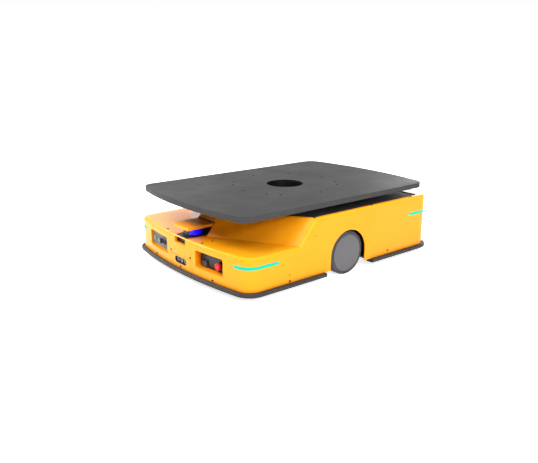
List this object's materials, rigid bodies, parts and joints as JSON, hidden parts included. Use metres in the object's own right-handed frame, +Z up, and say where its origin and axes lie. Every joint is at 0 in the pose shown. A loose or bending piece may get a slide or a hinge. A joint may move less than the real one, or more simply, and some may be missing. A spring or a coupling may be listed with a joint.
{
  "type": "autonomous mobile robot",
  "caption": "Low wheeled load-carrying robot: bowed orange housing with a sloped front step, lidar slot and corner lights, under a lifting turntable plate",
  "frame": {"origin": "on the floor under the turntable's axis, midway between the drive wheels", "axes": "+X forwards towards the lidar slot, +Y to the robot's left, +Z up"},
  "size_m": [0.9822, 0.7234, 0.276],
  "materials": {
    "orange_shell": "satin powder coat",
    "plate_grey": "fine matt powder coat",
    "deck_black": "matt powder coat",
    "frame_grey": "matt powder coat",
    "bumper_rubber": "matt",
    "tyre_rubber": "matt",
    "hub_grey": "satin",
    "light_cyan": "lit diffuser",
    "lidar_black": "gloss",
    "lidar_glow": "smoked window with a blue glow",
    "camera_black": "satin with glass lenses",
    "black_plastic": "matt",
    "grey_plastic": "matt",
    "panel_grey": "satin",
    "stop_red": "satin",
    "button_green": "satin",
    "steel": "ground",
    "screw_black": "black oxide",
    "contact_metal": "plated",
    "aluminium": "machined",
    "liner_polymer": "smooth",
    "belt_rubber": "matt",
    "battery_blue": "matt"
  },
  "bodies": {
    "chassis": {"base_frame": "frame_grey", "body_shell": "orange_shell", "front_panel_upper": "orange_shell", "front_panel_lower": "orange_shell", "deck_cover": "deck_black", "bumper_front": "bumper_rubber", "bumper_rear": "bumper_rubber", "corner_lights": "light_cyan", "lidar_tray": "deck_black", "lidar_roof": "orange_shell", "lidar_body": "lidar_black", "lidar_window": "lidar_glow", "depth_camera": "camera_black", "charge_bezel": "black_plastic", "charge_contacts": "contact_metal", "power_panel": "black_plastic", "service_panel": "panel_grey", "service_socket": "black_plastic", "shell_screws": "screw_black", "caster_mounts": "steel", "wheel_mounts": "steel", "battery_pack": "battery_blue", "control_box": "aluminium", "screw_bearings": "aluminium", "guide_posts": "steel", "lift_belt": "belt_rubber", "lift_motor": "frame_grey"},
    "lift_carriage": {"carriage_plate": "frame_grey", "lift_nuts": "steel", "guide_bushes": "liner_polymer", "slew_inner_ring": "aluminium", "slew_liner": "liner_polymer", "slew_motor": "frame_grey", "up_camera": "camera_black"},
    "turntable": {"turntable_plate": "plate_grey", "turntable_hub": "aluminium", "slew_ring_gear": "steel"},
    "slew_pinion": {"slew_pinion": "steel"},
    "lift_drive_pulley": {"lift_drive_pulley": "aluminium"},
    "drive_wheel_left": {"drive_tyre_left": "tyre_rubber", "drive_hub_left": "hub_grey"},
    "drive_wheel_right": {"drive_tyre_right": "tyre_rubber", "drive_hub_right": "hub_grey"},
    "stop_button": {"stop_button": "stop_red"},
    "power_switch": {"power_switch": "grey_plastic"},
    "mode_knob": {"mode_knob": "black_plastic"},
    "push_button_1": {"push_button_1": "button_green"},
    "push_button_2": {"push_button_2": "button_green"},
    "caster_swivel_front_left": {"caster_fork_front_left": "steel"},
    "caster_wheel_front_left": {"caster_wheel_front_left": "tyre_rubber"},
    "lift_screw_front_left": {"lift_screw_front_left": "steel"},
    "caster_swivel_front_right": {"caster_fork_front_right": "steel"},
    "caster_wheel_front_right": {"caster_wheel_front_right": "tyre_rubber"},
    "lift_screw_front_right": {"lift_screw_front_right": "steel"},
    "caster_swivel_rear_left": {"caster_fork_rear_left": "steel"},
    "caster_wheel_rear_left": {"caster_wheel_rear_left": "tyre_rubber"},
    "lift_screw_rear_left": {"lift_screw_rear_left": "steel"},
    "caster_swivel_rear_right": {"caster_fork_rear_right": "steel"},
    "caster_wheel_rear_right": {"caster_wheel_rear_right": "tyre_rubber"},
    "lift_screw_rear_right": {"lift_screw_rear_right": "steel"}
  },
  "joints": [
    {"name": "lift", "type": "slide", "parent": "chassis", "child": "lift_carriage", "axis": [0, 0, 1], "range_m": [-0.02, 0.04]},
    {"name": "turntable_turn", "type": "hinge", "parent": "lift_carriage", "child": "turntable", "pos_m": [0, 0, 0.18], "axis": [0, 0, 1], "continuous": true},
    {"name": "slew_pinion_turn", "type": "hinge", "parent": "lift_carriage", "child": "slew_pinion", "pos_m": [-0.255, 0, 0.18], "axis": [0, 0, 1], "continuous": true},
    {"name": "lift_pulley_turn", "type": "hinge", "parent": "chassis", "child": "lift_drive_pulley", "pos_m": [-0.32, 0, 0.065], "axis": [0, 0, 1], "range_deg": [-400, 760]},
    {"name": "drive_left", "type": "hinge", "parent": "chassis", "child": "drive_wheel_left", "pos_m": [0, 0.32, 0.08], "axis": [0, 1, 0], "continuous": true},
    {"name": "drive_right", "type": "hinge", "parent": "chassis", "child": "drive_wheel_right", "pos_m": [0, -0.32, 0.08], "axis": [0, 1, 0], "continuous": true},
    {"name": "stop_press", "type": "slide", "parent": "chassis", "child": "stop_button", "axis": [-0.9956, -0.0936, 0], "range_m": [0, 0.004]},
    {"name": "power_rocker", "type": "hinge", "parent": "chassis", "child": "power_switch", "pos_m": [0.44735, 0.11418, 0.078], "axis": [-0.0936, 0.9956, 0], "range_deg": [-16, 0]},
    {"name": "mode_turn", "type": "hinge", "parent": "chassis", "child": "mode_knob", "pos_m": [0.46204, -0.15021, 0.0975], "axis": [0.9956, -0.0936, 0], "range_deg": [-90, 90]},
    {"name": "button_1_press", "type": "slide", "parent": "chassis", "child": "push_button_1", "axis": [-0.9956, 0.0936, 0], "range_m": [0, 0.0015], "stiffness_N_per_m": 400},
    {"name": "button_2_press", "type": "slide", "parent": "chassis", "child": "push_button_2", "axis": [-0.9956, 0.0936, 0], "range_m": [0, 0.0015], "stiffness_N_per_m": 400},
    {"name": "swivel_front_left", "type": "hinge", "parent": "chassis", "child": "caster_swivel_front_left", "pos_m": [0.35, 0.228, 0.09], "axis": [0, 0, 1], "continuous": true},
    {"name": "roll_front_left", "type": "hinge", "parent": "caster_swivel_front_left", "child": "caster_wheel_front_left", "pos_m": [0.325, 0.228, 0.035], "axis": [0, 1, 0], "continuous": true},
    {"name": "screw_front_left", "type": "hinge", "parent": "chassis", "child": "lift_screw_front_left", "pos_m": [0.213, 0.213, 0.1], "axis": [0, 0, 1], "range_deg": [-400, 760]},
    {"name": "swivel_front_right", "type": "hinge", "parent": "chassis", "child": "caster_swivel_front_right", "pos_m": [0.35, -0.228, 0.09], "axis": [0, 0, 1], "continuous": true},
    {"name": "roll_front_right", "type": "hinge", "parent": "caster_swivel_front_right", "child": "caster_wheel_front_right", "pos_m": [0.325, -0.228, 0.035], "axis": [0, 1, 0], "continuous": true},
    {"name": "screw_front_right", "type": "hinge", "parent": "chassis", "child": "lift_screw_front_right", "pos_m": [0.213, -0.213, 0.1], "axis": [0, 0, 1], "range_deg": [-400, 760]},
    {"name": "swivel_rear_left", "type": "hinge", "parent": "chassis", "child": "caster_swivel_rear_left", "pos_m": [-0.35, 0.228, 0.09], "axis": [0, 0, 1], "continuous": true},
    {"name": "roll_rear_left", "type": "hinge", "parent": "caster_swivel_rear_left", "child": "caster_wheel_rear_left", "pos_m": [-0.375, 0.228, 0.035], "axis": [0, 1, 0], "continuous": true},
    {"name": "screw_rear_left", "type": "hinge", "parent": "chassis", "child": "lift_screw_rear_left", "pos_m": [-0.213, 0.213, 0.1], "axis": [0, 0, 1], "range_deg": [-400, 760]},
    {"name": "swivel_rear_right", "type": "hinge", "parent": "chassis", "child": "caster_swivel_rear_right", "pos_m": [-0.35, -0.228, 0.09], "axis": [0, 0, 1], "continuous": true},
    {"name": "roll_rear_right", "type": "hinge", "parent": "caster_swivel_rear_right", "child": "caster_wheel_rear_right", "pos_m": [-0.375, -0.228, 0.035], "axis": [0, 1, 0], "continuous": true},
    {"name": "screw_rear_right", "type": "hinge", "parent": "chassis", "child": "lift_screw_rear_right", "pos_m": [-0.213, -0.213, 0.1], "axis": [0, 0, 1], "range_deg": [-400, 760]}
  ],
  "couplings": [
    {"joint": "slew_pinion_turn", "follows": "turntable_turn", "ratio": -6.2857},
    {"joint": "lift_pulley_turn", "follows": "lift", "rad_per_m": 314.16},
    {"joint": "screw_front_left", "follows": "lift", "rad_per_m": 314.16},
    {"joint": "screw_front_right", "follows": "lift", "rad_per_m": 314.16},
    {"joint": "screw_rear_left", "follows": "lift", "rad_per_m": 314.16},
    {"joint": "screw_rear_right", "follows": "lift", "rad_per_m": 314.16}
  ]
}
